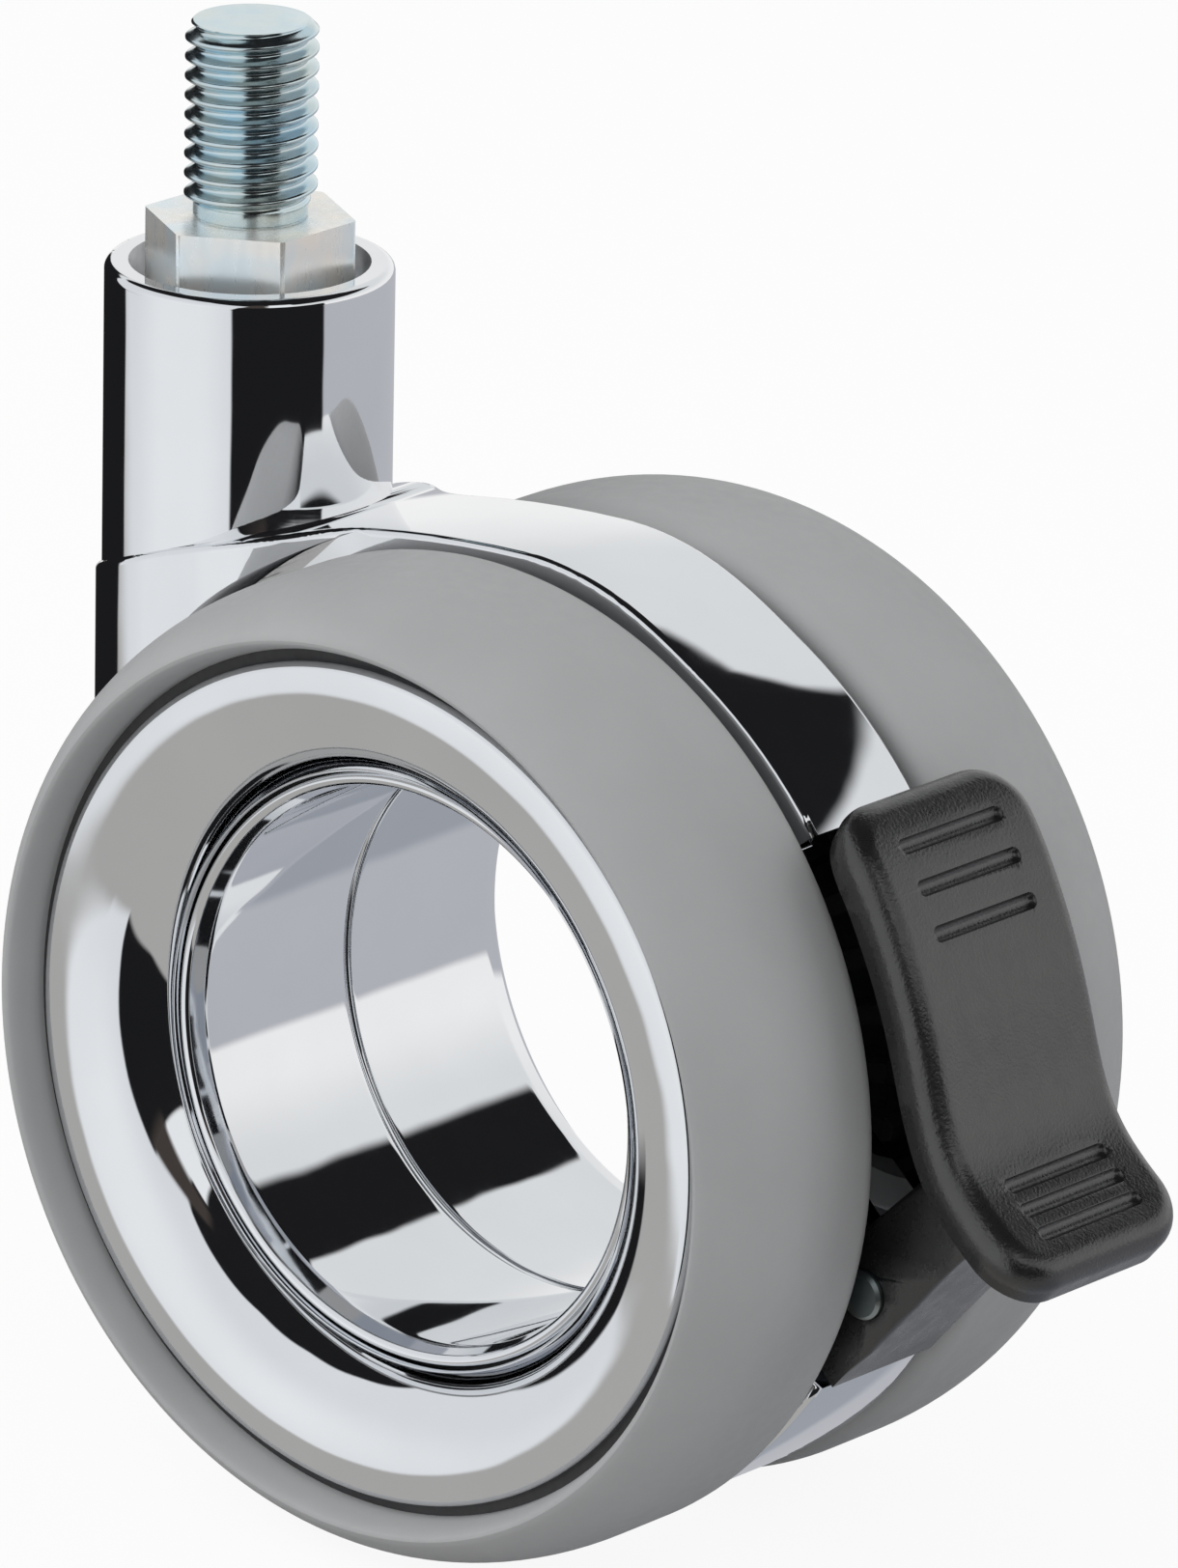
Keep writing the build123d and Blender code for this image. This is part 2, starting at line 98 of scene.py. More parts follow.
class CastorSizes(bpy.types.PropertyGroup):
    """Sizes of the pieces that are drawn finer than the solids"""

    thread_pitch: bpy.props.FloatProperty(
        name="Thread Pitch",
        description="Rise of the stud's thread in one turn",
        default=1.5 * MM,
        unit="LENGTH",
    )
    thread_depth: bpy.props.FloatProperty(
        name="Thread Depth",
        description="Depth of the thread below its crest",
        default=0.80 * MM,
        unit="LENGTH",
    )
    end_chamfer: bpy.props.FloatProperty(
        name="End Chamfer", description="Chamfer at the stud's free end", default=0.6 * MM, unit="LENGTH"
    )
    neck_height: bpy.props.FloatProperty(
        name="Neck Height",
        description="Plain collar between hexagon and thread",
        default=0.9 * MM,
        unit="LENGTH",
    )
    neck_radius: bpy.props.FloatProperty(
        name="Neck Radius", description="Radius of the plain collar", default=4.3 * MM, unit="LENGTH"
    )
    turning_steps: bpy.props.IntProperty(
        name="Turning Steps", description="Faces around a turned ring", default=192, min=32
    )
    socket_radius: bpy.props.FloatProperty(
        name="Socket Radius", description="Outside of the swivel socket", default=10.9 * MM, unit="LENGTH"
    )
    socket_round: bpy.props.FloatProperty(
        name="Socket Round", description="Rounding of the socket's rim", default=0.7 * MM, unit="LENGTH"
    )
    hood_radius: bpy.props.FloatProperty(
        name="Hood Radius", description="Front of the hood", default=11.35 * MM, unit="LENGTH"
    )
    band_radius: bpy.props.FloatProperty(
        name="Band Radius", description="Band between the wheels", default=36.8 * MM, unit="LENGTH"
    )
    band_half_width: bpy.props.FloatProperty(
        name="Band Half Width", description="Half the width of the band", default=6.0 * MM, unit="LENGTH"
    )
    band_crown: bpy.props.FloatProperty(
        name="Band Crown", description="Slope of the band's cast crown at its edges", default=0.08
    )
    ring_crest: bpy.props.FloatVectorProperty(
        name="Ring Crest",
        description="Crest of the face ring: distance from the middle and radius",
        default=(22.3 * MM, 29.7 * MM),
        size=2,
        unit="LENGTH",
    )
    ring_edge: bpy.props.FloatVectorProperty(
        name="Ring Edge",
        description="Outer edge of the face ring: distance from the middle and radius",
        default=(22.2 * MM, 31.35 * MM),
        size=2,
        unit="LENGTH",
    )
    ring_mouth: bpy.props.FloatVectorProperty(
        name="Ring Mouth",
        description="Inner edge of the face ring: distance from the middle and radius",
        default=(18.0 * MM, 22.85 * MM),
        size=2,
        unit="LENGTH",
    )
    bore_radius: bpy.props.FloatProperty(
        name="Bore Radius", description="Open hub between the wheels", default=21.3 * MM, unit="LENGTH"
    )
    seam_round: bpy.props.FloatProperty(
        name="Seam Round", description="Rounding where the two sleeves meet", default=0.6 * MM, unit="LENGTH"
    )
    cast_draft: bpy.props.FloatProperty(
        name="Cast Draft",
        description="Draft of the casting's upright skin",
        default=radians(3.5),
        subtype="ANGLE",
    )


class CastorColours(bpy.types.PropertyGroup):
    """Colours of the finishes"""

    chrome: bpy.props.FloatVectorProperty(
        name="Chrome",
        description="Tint of the polished plating",
        default=(0.85, 0.865, 0.885),
        subtype="COLOR",
    )
    tread: bpy.props.FloatVectorProperty(
        name="Tread", description="Soft grey of the treads", default=(0.325, 0.329, 0.333), subtype="COLOR"
    )
    lever: bpy.props.FloatVectorProperty(
        name="Lever",
        description="Black of the moulded lever",
        default=(0.008, 0.0077, 0.0077),
        subtype="COLOR",
    )
    zinc: bpy.props.FloatVectorProperty(
        name="Zinc", description="Plated steel of stem and pins", default=(0.62, 0.735, 0.77), subtype="COLOR"
    )
    hexagon: bpy.props.FloatVectorProperty(
        name="Hexagon",
        description="Brighter zinc of the hexagon",
        default=(0.90, 0.905, 0.88),
        subtype="COLOR",
    )
    core: bpy.props.FloatVectorProperty(
        name="Core", description="Black of the wheel cores", default=(0.03, 0.03, 0.032), subtype="COLOR"
    )
    bearing: bpy.props.FloatVectorProperty(
        name="Bearing",
        description="White of washers and bearing rings",
        default=(0.70, 0.69, 0.64),
        subtype="COLOR",
    )
    bronze: bpy.props.FloatVectorProperty(
        name="Bronze",
        description="Sintered bronze of the stem bush",
        default=(0.55, 0.40, 0.22),
        subtype="COLOR",
    )
    spring: bpy.props.FloatVectorProperty(
        name="Spring", description="Blank steel of ring and leaf", default=(0.45, 0.45, 0.47), subtype="COLOR"
    )


class CastorStudio(bpy.types.PropertyGroup):
    """Camera and studio"""

    azimuth: bpy.props.FloatProperty(
        name="Azimuth", description="Camera's turn from the front", default=radians(40.927), subtype="ANGLE"
    )
    elevation: bpy.props.FloatProperty(
        name="Elevation", description="Camera's height angle", default=radians(19.629), subtype="ANGLE"
    )
    roll: bpy.props.FloatProperty(
        name="Roll",
        description="Camera's tilt about its line of sight",
        default=radians(1.077),
        subtype="ANGLE",
    )
    distance: bpy.props.FloatProperty(
        name="Distance", description="Camera to wheel centre", default=1.046783, unit="LENGTH"
    )
    lens: bpy.props.FloatProperty(
        name="Lens", description="Focal length on a 36 mm frame", default=322.74, subtype="DISTANCE_CAMERA"
    )
    aim: bpy.props.FloatVectorProperty(
        name="Aim",
        description="Aim off the wheel centre, to the right and up, as slopes",
        default=(0.0021, 0.0164),
        size=2,
    )


def even_steps(low, high, steps):
    """Values from low to high in equal steps, both ends included."""
    return [low + (high - low) * step / steps for step in range(steps + 1)]


def finished(mesh, name, angle=30.0):
    """Links a mesh as an object, smooth except where faces meet at more than the angle."""
    mesh.shade_smooth()
    mesh.set_sharp_from_angle(angle=radians(angle))
    piece = bpy.data.objects.new(name, mesh)
    bpy.context.scene.collection.objects.link(piece)
    return piece


def coat(mesh, *finishes):
    """Gives a mesh its finishes in place of those it has."""
    mesh.materials.clear()
    for finish in finishes:
        mesh.materials.append(finish_of(finish))


def stand_for(piece, body, slot, finishes, *nodes):
    """Gives a piece its finishes and lets it ride on a body in place of CAD nodes."""
    coat(piece.data, *finishes)
    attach(piece, body)
    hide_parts(*nodes)


def give_second_finish(mesh, chosen):
    """Puts the second finish on the faces that the test picks by their corners."""
    for face in mesh.polygons:
        face.material_index = int(all(chosen(mesh.vertices[index].co) for index in face.vertices))


def arc(centre, radii, start, end, steps):
    """Points on an elliptic arc, angles in degrees."""
    return [
        (centre[0] + radii[0] * cos(radians(angle)), centre[1] + radii[1] * sin(radians(angle)))
        for angle in even_steps(start, end, steps)
    ]


def tangent_arc(start, way, end, steps):
    """Points of an arc that leaves its start along a direction and runs to its end."""
    start, way = Vector(start), Vector(way)
    side = Vector((-way.y, way.x))
    chord = Vector(end) - start
    centre = start + side * chord.length_squared / (2 * chord.dot(side))
    sweep = 2 * atan2(chord.dot(side), chord.dot(way))
    return [
        tuple(centre + Matrix.Rotation(turn, 2) @ (start - centre))
        for turn in even_steps(0.0, sweep, steps)
    ]


def curve(points, steps):
    """Points of a smooth curve through the given points, in equal steps from each to the next."""
    ends = [points[0]] + list(points) + [points[-1]]
    found = []
    for index in range(len(points) - 1):
        p0, p1, p2, p3 = (Vector(p) for p in ends[index : index + 4])
        for step in range(steps):
            t = step / steps
            squared = (2 * p0 - 5 * p1 + 4 * p2 - p3) * t**2
            cubed = (3 * p1 - p0 - 3 * p2 + p3) * t**3
            found.append(tuple(0.5 * (2 * p1 + (p2 - p0) * t + squared + cubed)))
    return found + [tuple(points[-1])]


def turned(name, profile, sign, steps):
    """A ring turned about the wheel axis from a closed profile.

    The profile's points are (distance outwards, radius) in millimetres.
    """
    build = bmesh.new()
    rows = []
    for step in range(steps):
        turn = 2 * pi * step / steps
        spots = [Vector((radius * cos(turn), sign * out, radius * sin(turn))) for out, radius in profile]
        rows.append([build.verts.new(wheel_centre + spot * MM) for spot in spots])
    count = len(profile)
    for step, row in enumerate(rows):
        following = rows[(step + 1) % steps]
        for index in range(count):
            after = (index + 1) % count
            build.faces.new((row[index], row[after], following[after], following[index]))
    bmesh.ops.recalc_face_normals(build, faces=build.faces)
    mesh = bpy.data.meshes.new(name)
    build.to_mesh(mesh)
    build.free()
    return mesh


def merged_copy(node, name):
    """A copy of a CAD node's mesh with its loose triangles merged."""
    build = bmesh.new()
    build.from_mesh(frame["nodes"][node].data)
    bmesh.ops.remove_doubles(build, verts=build.verts, dist=weld)
    mesh = bpy.data.meshes.new(name)
    build.to_mesh(mesh)
    build.free()
    return mesh


def even_normals(mesh):
    """Weighs each corner's normal by the size of the faces it blends.

    Small facets then do not smear large ones.
    """
    sharp = {tuple(sorted(edge.vertices)) for edge in mesh.edges if edge.use_edge_sharp}
    around = [[] for _ in mesh.vertices]
    for face in mesh.polygons:
        for vertex in face.vertices:
            around[vertex].append(face)
    corner_normals = [Vector()] * len(mesh.loops)
    for face in mesh.polygons:
        for loop, vertex in zip(face.loop_indices, face.vertices):
            group = smooth_group(face, around[vertex], sharp)
            weighed = (other.normal * other.area for other in group)
            corner_normals[loop] = sum(weighed, Vector()).normalized()
    mesh.normals_split_custom_set(corner_normals)


def smooth_group(face, faces, sharp):
    """Those of the faces around a vertex that join one of them without crossing a sharp edge."""
    group, rest = [face], [other for other in faces if other != face]
    for member in group:
        for other in list(rest):
            common = set(member.vertices) & set(other.vertices)
            if len(common) == 2 and tuple(sorted(common)) not in sharp:
                group.append(other)
                rest.remove(other)
    return group


def slopes_along(places, heights, reach):
    """Slope of a smooth curve at its sampled places, from a parabola fitted to the samples in reach."""
    slopes = {}
    for place in places:
        near = abs(places - place) < reach
        slopes[place] = np.polyfit(places[near] - place, heights[near], 2)[1]
    return slopes


class HousingSkin:
    """Finds the housing's turned, swept and flat surfaces and gives their corners exact normals."""

    # Limits of place and normal by which a face is known to lie on a surface
    near = 0.006 * MM
    wall_rise = 0.3
    flat_lean = 0.02
    level_rise = 0.999
    band_lean = 0.2
    band_side_lean = 0.9
    hood_side_lean = 0.99
    top_rise = 0.15
    top_below_rim = 4.0 * MM
    waist_start, waist_end = 4.9 * MM, 18.1 * MM
    waist_turn = 0.008
    # How far along X the slope of a swept surface is fitted, and the digits of its samples
    top_reach, waist_reach = 3.0 * MM, 1.5 * MM
    digits = 7
    # How alike a blend's face and the normal that it borrows have to be
    lent_likeness = 0.75

    def __init__(self, mesh, sizes):
        self.mesh, self.sizes = mesh, sizes
        self.spots = [vertex.co.copy() for vertex in mesh.vertices]
        self.from_axle = [hypot(spot.x - wheel_centre.x, spot.z - wheel_centre.z) for spot in self.spots]
        self.from_swivel = [hypot(spot.x, spot.y) for spot in self.spots]
        self.heights = [spot.z for spot in self.spots]
        self.widths = [abs(spot.y) for spot in self.spots]
        self.rim_height = max(self.heights) - sizes.socket_round
        self.rim_centre = sizes.socket_radius - sizes.socket_round

    def settle(self):
        """Sets the normals of the known surfaces and lends them to the blends beside these."""
        known = {}
        swept = {"hood top": [], "waist": []}
        for face in self.mesh.polygons:
            surface = self.surface_of(face)
            if surface in swept:
                swept[surface].append(face)
            elif surface:
                known[face.index] = [self.sized_normal(surface, face, i) for i in face.vertices]
        known.update(self.swept_normals(swept["hood top"], self.heights, self.top_reach, self.top_normal))
        known.update(self.swept_normals(swept["waist"], self.widths, self.waist_reach, self.waist_normal))
        shared = {}
        for index, normals in known.items():
            for vertex, normal in zip(self.mesh.polygons[index].vertices, normals):
                shared.setdefault(vertex, []).append(normal)
        corner_normals = [Vector()] * len(self.mesh.loops)
        for face in self.mesh.polygons:
            normals = known.get(face.index) or [
                self.lent_normal(face, shared.get(vertex, [])) for vertex in face.vertices
            ]
            for loop, normal in zip(face.loop_indices, normals):
                corner_normals[loop] = normal
        self.mesh.normals_split_custom_set(corner_normals)

    def surface_of(self, face):
        """Name of the surface that a face lies on, or None on blends and inside."""
        sizes, normal, corners = self.sizes, face.normal, face.vertices
        lean = abs(normal.y)
        if abs(normal.z) < self.wall_rise and (
            self.all_at(face, self.from_swivel, sizes.socket_radius)
            or self.all_at(face, self.from_swivel, sizes.hood_radius)
        ):
            return "round wall"
        if all(self.on_rim_round(i) for i in corners):
            return "rim round"
        rim_top = self.rim_height + sizes.socket_round - self.near
        if normal.z > self.level_rise and all(self.heights[i] > rim_top for i in corners):
            return "rim top"
        if lean > self.band_side_lean and self.all_at(face, self.widths, sizes.band_half_width):
            return "band side"
        if lean > self.hood_side_lean and self.all_at(face, self.widths, sizes.hood_radius):
            return "hood side"
        if lean < self.band_lean and self.all_at(face, self.from_axle, sizes.band_radius):
            return "band"
        if lean < self.flat_lean and normal.z > self.top_rise and all(self.over_band(i) for i in corners):
            return "hood top"
        if abs(normal.z) < self.flat_lean and normal.x > self.waist_turn and all(
            self.beside_waist(i) and normal.y * self.spots[i].y > 0 for i in corners
        ):
            return "waist"
        return None

    def all_at(self, face, values, wanted):
        """True where the values of all the face's vertices are the wanted one."""
        return all(abs(values[i] - wanted) < self.near for i in face.vertices)

    def on_rim_round(self, index):
        """True for a vertex on the rounding of the socket's rim."""
        rise = self.heights[index] - self.rim_height
        off = hypot(self.from_swivel[index] - self.rim_centre, rise) - self.sizes.socket_round
        return abs(off) < self.near and rise > -self.near

    def over_band(self, index):
        """True for a vertex above the band's circle and clear of the socket's rim."""
        clear = self.from_axle[index] > self.sizes.band_radius - self.near
        return clear and self.heights[index] < self.rim_height - self.top_below_rim

    def beside_waist(self, index):
        """True for a vertex where the hood narrows to the band."""
        sizes = self.sizes
        inside = sizes.band_half_width - self.near < self.widths[index] < sizes.hood_radius + self.near
        return inside and self.waist_start < self.spots[index].x < self.waist_end

    def sized_normal(self, surface, face, index):
        """Normal at a vertex of a surface that the sizes alone describe."""
        spot = self.spots[index]
        sideways = Vector((0, 1 if face.normal.y > 0 else -1, 0))
        if surface == "round wall":
            return self.drafted(Vector((spot.x, spot.y, 0)).normalized())
        if surface == "rim round":
            share = (self.from_swivel[index] - self.rim_centre) / self.from_swivel[index]
            return Vector((spot.x * share, spot.y * share, spot.z - self.rim_height)).normalized()
        if surface == "rim top":
            return Vector((0, 0, 1))
        if surface == "band side":
            return sideways
        if surface == "hood side":
            return self.drafted(sideways)
        from_axle = Vector((spot.x - wheel_centre.x, 0, spot.z - wheel_centre.z))
        return self.crowned(from_axle.normalized(), spot)

    def swept_normals(self, faces, heights, reach, normal_from):
        """Normals of faces swept along X, by the slope of the curve that their vertices lie on."""
        places = [round(spot.x, self.digits) for spot in self.spots]
        samples = {(places[i], round(heights[i], self.digits)) for face in faces for i in face.vertices}
        curve_places, curve_heights = np.array(sorted(samples)).T
        slopes = slopes_along(curve_places, curve_heights, reach)
        return {
            face.index: [normal_from(slopes[places[i]], self.spots[i]) for i in face.vertices]
            for face in faces
        }

    def top_normal(self, slope, spot):
        """Normal of the hood's top, which climbs along X."""
        return self.crowned(Vector((-slope, 0, 1)).normalized(), spot)

    def waist_normal(self, slope, spot):
        """Normal of the hood's sides, which close in along X."""
        return self.drafted(Vector((-slope, 1 if spot.y > 0 else -1, 0)).normalized())

    def crowned(self, normal, spot):
        """The normal leant outwards by the band's cast crown."""
        lean = self.sizes.band_crown * spot.y / self.sizes.band_half_width
        return (normal + Vector((0, lean, 0))).normalized()

    def drafted(self, normal):
        """The normal leant upwards by the casting's draft."""
        return (normal + Vector((0, 0, self.sizes.cast_draft))).normalized()

    def lent_normal(self, face, normals):
        """The best of a vertex's known normals, or none where the face turns too far from it."""
        best = max(normals, key=face.normal.dot, default=Vector())
        return best if best.dot(face.normal) > self.lent_likeness else Vector()


def settle_hexagon(mesh, half_width):
    """Gives the hexagon's flats and its upper face exact flat normals."""
    near, level_rise = 0.004 * MM, 0.99
    flats = [Vector((cos(turn), sin(turn), 0)) for turn in even_steps(0.0, 2 * pi, 6)[:-1]]
    corner_normals = [Vector()] * len(mesh.loops)
    for face in mesh.polygons:
        spots = [mesh.vertices[index].co for index in face.vertices]
        known = None
        if face.normal.z > level_rise and all(abs(spot.z) < seat_skin for spot in spots):
            known = Vector((0, 0, 1))
        for flat in flats:
            if all(abs(spot.dot(flat) - half_width) < near for spot in spots):
                known = flat
        if known:
            for loop in face.loop_indices:
                corner_normals[loop] = known
    mesh.normals_split_custom_set(corner_normals)


def feed(tree, target, value):
    """Links an input to an output, or sets its value."""
    if isinstance(value, bpy.types.NodeSocket):
        tree.links.new(value, target)
    else:
        target.default_value = value


def add_node(tree, kind, **inputs):
    """A new node with its inputs linked or set, their names written with _ for a space."""
    made = tree.nodes.new(kind)
    for socket, value in inputs.items():
        feed(tree, made.inputs[socket.replace("_", " ")], value)
    return made


def add_maths(tree, operation, *values):
    """Result of a new maths node."""
    made = tree.nodes.new("ShaderNodeMath")
    made.operation = operation
    for target, value in zip(made.inputs, values):
        feed(tree, target, value)
    return made.outputs[0]


def add_rise(tree, value, low, high):
    """0 below low and 1 above high, smoothly."""
    made = add_node(tree, "ShaderNodeMapRange", Value=value, From_Min=low, From_Max=high)
    made.interpolation_type = "SMOOTHSTEP"
    return made.outputs[0]


def mix_shaders(tree, factor, first, second):
    """The first shader, or the second where the factor is 1."""
    mixed = tree.nodes.new("ShaderNodeMixShader")
    for target, value in zip(mixed.inputs, (factor, first, second)):
        tree.links.new(value, target)
    return mixed.outputs[0]


class Finish:
    """A node material with a principled shader, built one link at a time."""

    # Noise stays between these over most of a surface
    noise_low, noise_high = 0.3, 0.7

    def __init__(self, name, **constants):
        self.material = bpy.data.materials.new(name)
        self.material.use_nodes = True
        self.tree = self.material.node_tree
        self.shader = self.tree.nodes["Principled BSDF"]
        self.place = self.tree.nodes.new("ShaderNodeTexCoord").outputs["Object"]
        self.node = partial(add_node, self.tree)
        for socket, value in constants.items():
            self.shader.inputs[socket.replace("_", " ")].default_value = value

    def noise(self, scale, detail=3.0, stretch=(1.0, 1.0, 1.0)):
        """Noise whose scale is in features per metre."""
        mapping = self.node("ShaderNodeMapping", Vector=self.place, Scale=stretch)
        made = self.node("ShaderNodeTexNoise", Vector=mapping.outputs[0], Scale=scale, Detail=detail)
        return made.outputs["Fac"]

    def ramp(self, factor, *stops):
        """A colour that runs through stops of place and colour as the factor rises."""
        made = self.node("ShaderNodeValToRGB", Fac=factor)
        ramp = made.color_ramp
        while len(ramp.elements) < len(stops):
            ramp.elements.new(0.5)
        for element, (place, colour) in zip(ramp.elements, stops):
            element.position = place
            element.color = (*colour, 1.0)
        return made.outputs["Color"]

    def shade(self, noise, dark, light):
        """A colour that goes from dark to light as noise rises."""
        return self.ramp(noise, (self.noise_low, dark), (self.noise_high, light))

    def spread(self, noise, low, high):
        """A value that goes from low to high as noise rises."""
        start, end = self.noise_low, self.noise_high
        made = self.node(
            "ShaderNodeMapRange", Value=noise, From_Min=start, From_Max=end, To_Min=low, To_Max=high
        )
        return made.outputs[0]

    def feed(self, socket, value):
        """Links an output to the shader."""
        self.tree.links.new(value, self.shader.inputs[socket])

    def bump(self, height, distance, strength=1.0):
        """Raises the surface's look by a height."""
        made = self.node("ShaderNodeBump", Height=height, Distance=distance, Strength=strength)
        self.feed("Normal", made.outputs[0])


def tinted(colour, factors):
    """A colour with each of its parts made weaker or stronger."""
    return tuple(min(1.0, part * factor) for part, factor in zip(colour, factors))


def tone(colour, factor):
    """A colour made darker or lighter."""
    return tinted(colour, (factor, factor, factor))


def chrome_finish(name, colour):
    """Bright plating: a mirror with a faint cloud of polish marks."""
    finish = Finish(name, Metallic=1.0)
    cloud = finish.noise(scale=90.0, detail=4.0)
    finish.feed("Base Color", finish.shade(cloud, dark=tone(colour, 0.96), light=colour))
    marks = finish.noise(scale=400.0, detail=2.0)
    finish.feed("Roughness", finish.spread(marks, low=0.025, high=0.05))
    finish.bump(finish.noise(scale=110.0, detail=1.0), distance=0.06 * MM)
    return finish.material


def tread_finish(name, colour):
    """Soft moulded tread: matte, with a very fine skin and slow changes of tone."""
    finish = Finish(name, IOR=1.48)
    slow = finish.noise(scale=55.0)
    finish.feed("Base Color", finish.shade(slow, dark=tone(colour, 0.94), light=tone(colour, 1.05)))
    finish.feed("Roughness", finish.spread(finish.noise(scale=900.0), low=0.52, high=0.64))
    finish.bump(finish.noise(scale=5200.0, detail=2.0), distance=0.02 * MM, strength=0.35)
    return finish.material


def lever_finish(name, colour):
    """Black moulded plastic with a spark-eroded grain."""
    finish = Finish(name, IOR=1.52, Specular_IOR_Level=1.0)
    slow = finish.noise(scale=120.0)
    finish.feed("Base Color", finish.shade(slow, dark=tone(colour, 0.85), light=tone(colour, 1.2)))
    finish.feed("Roughness", finish.spread(finish.noise(scale=700.0), low=0.24, high=0.33))
    finish.bump(finish.noise(scale=4200.0, detail=2.0), distance=0.04 * MM, strength=0.8)
    return finish.material


def zinc_finish(name, colour, polish, streak=(1.0, 1.0, 1.0), metal=1.0):
    """Blue passivated zinc: satin metal with faint blue and straw tints and drawn streaks."""
    finish = Finish(name, Metallic=metal)
    straw = tinted(colour, (1.10, 1.02, 0.95))
    blue = tinted(colour, (0.88, 0.98, 1.06))
    tint = finish.noise(scale=210.0, detail=2.0)
    finish.feed("Base Color", finish.ramp(tint, (0.32, blue), (0.5, colour), (0.7, straw)))
    lines = finish.noise(scale=1400.0, stretch=streak)
    finish.feed("Roughness", finish.spread(lines, low=polish, high=polish + 0.08))
    finish.bump(lines, distance=0.004 * MM, strength=0.2)
    return finish.material


def dull_finish(name, colour):
    """Thin dull plating on the inside of the casting."""
    finish = Finish(name, Metallic=1.0)
    cloud = finish.noise(scale=250.0)
    finish.feed("Base Color", finish.shade(cloud, dark=tone(colour, 0.8), light=colour))
    finish.feed("Roughness", finish.spread(finish.noise(scale=900.0), low=0.28, high=0.42))
    return finish.material


def moulded_finish(name, colour, roughness):
    """Plain moulded inner piece."""
    finish = Finish(name)
    slow, change = finish.noise(scale=300.0), 0.08
    finish.feed("Base Color", finish.shade(slow, dark=tone(colour, 0.88), light=tone(colour, 1.08)))
    fine = finish.noise(scale=1500.0)
    finish.feed("Roughness", finish.spread(fine, low=roughness - change, high=roughness + change))
    finish.bump(finish.noise(scale=4000.0, detail=2.0), distance=0.03 * MM, strength=0.3)
    return finish.material


def finish_of(name):
    """The named finish, made once."""
    if name in bpy.data.materials:
        return bpy.data.materials[name]
    colours = bpy.context.scene.castor_colours
    upright, across = (1.0, 1.0, 0.12), (1.0, 0.12, 1.0)
    zinc = partial(zinc_finish, name)
    makers = {
        "polished_chrome": lambda: chrome_finish(name, colours.chrome),
        "soft_tread": lambda: tread_finish(name, colours.tread),
        "grained_lever": lambda: lever_finish(name, colours.lever),
        "dull_socket": lambda: dull_finish(name, tone(colours.chrome, 0.55)),
        "zinc_thread": lambda: zinc(colours.zinc, polish=0.13, streak=upright),
        "zinc_hexagon": lambda: zinc(colours.hexagon, polish=0.25, streak=upright, metal=0.72),
        # Zinc toned down to 0.55: painted shade on the pin, which sits in shadow under the lever
        "zinc_pin_painted_shade": lambda: zinc(tone(colours.zinc, 0.55), polish=0.3, streak=across),
        # Real black on the wheel cores; on the sleeve flanges the same black is painted shade
        "black_core_and_painted_shade": lambda: moulded_finish(name, colours.core, roughness=0.5),
        "white_bearing": lambda: moulded_finish(name, colours.bearing, roughness=0.45),
        "bronze_bush": lambda: zinc(colours.bronze, polish=0.25),
        "spring_blank": lambda: zinc(colours.spring, polish=0.2),
    }
    return makers[name]()


